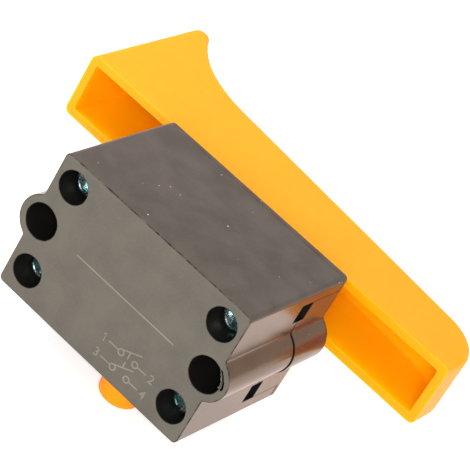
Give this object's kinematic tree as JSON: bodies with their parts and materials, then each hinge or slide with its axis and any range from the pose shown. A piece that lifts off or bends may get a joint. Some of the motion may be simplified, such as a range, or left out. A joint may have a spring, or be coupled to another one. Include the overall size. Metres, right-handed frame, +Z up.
{
  "type": "power tool trigger switch",
  "caption": "Trigger switch for a hand-held power tool: a moulded box with screw terminals and mounting bores, a long hollow paddle trigger on a stem, and a sprung lock button.",
  "frame": {"origin": "on the label face of the switch box, midway between the two mounting bores", "axes": "+X along the box, away from the lipped end of the trigger; +Y from the label face through the box to the trigger; +Z up, away from the lock button"},
  "size_m": [0.0915, 0.0789, 0.0367],
  "materials": {
    "housing": "moulded, warm dark grey",
    "trigger": "moulded, yellow-orange",
    "button": "moulded, yellow-orange",
    "slide": "moulded, black",
    "spring_steel": "drawn wire",
    "zinc_steel": "blue zinc plate",
    "brass_strip": "stamped strip",
    "contact_silver": "silver alloy rivet"
  },
  "bodies": {
    "housing": {"front_cover": "housing", "base": "housing", "clamp_cages": "zinc_steel", "terminal_screws": "zinc_steel", "return_spring": "spring_steel", "lock_spring": "spring_steel", "upper_pivot_terminal": "brass_strip", "lower_pivot_terminal": "brass_strip", "upper_fixed_terminal": "brass_strip", "lower_fixed_terminal": "brass_strip", "upper_fixed_contact": "contact_silver", "lower_fixed_contact": "contact_silver"},
    "trigger_unit": {"trigger": "trigger", "contact_slide": "slide", "stem_pin": "spring_steel", "upper_contact_pin": "slide", "lower_contact_pin": "slide", "upper_pin_spring": "spring_steel", "lower_pin_spring": "spring_steel"},
    "lock": {"lock_button": "button"},
    "upper_rocker_unit": {"upper_rocker": "brass_strip", "upper_moving_contact": "contact_silver"},
    "lower_rocker_unit": {"lower_rocker": "brass_strip", "lower_moving_contact": "contact_silver"}
  },
  "joints": [
    {"name": "trigger_pull", "type": "slide", "parent": "housing", "child": "trigger_unit", "axis": [0, -1, 0], "range_m": [0, 0.007], "stiffness_N_per_m": 700, "springref_m": -0.005, "deforming": ["return_spring"]},
    {"name": "lock_press", "type": "slide", "parent": "housing", "child": "lock", "axis": [0, 0, 1], "range_m": [0, 0.003], "stiffness_N_per_m": 900, "springref_m": -0.003, "deforming": ["lock_spring"]},
    {"name": "upper_rocker_tilt", "type": "hinge", "parent": "housing", "child": "upper_rocker_unit", "pos_m": [-0.007, 0.0228, 0.0066], "axis": [-1, 0, 0], "range_deg": [0, 16]},
    {"name": "lower_rocker_tilt", "type": "hinge", "parent": "housing", "child": "lower_rocker_unit", "pos_m": [-0.007, 0.0228, -0.0066], "axis": [1, 0, 0], "range_deg": [0, 16]}
  ],
  "couplings": [
    {"joint": "upper_rocker_tilt", "follows": "trigger_pull", "rad_per_m": 39.89},
    {"joint": "lower_rocker_tilt", "follows": "trigger_pull", "rad_per_m": 39.89}
  ]
}
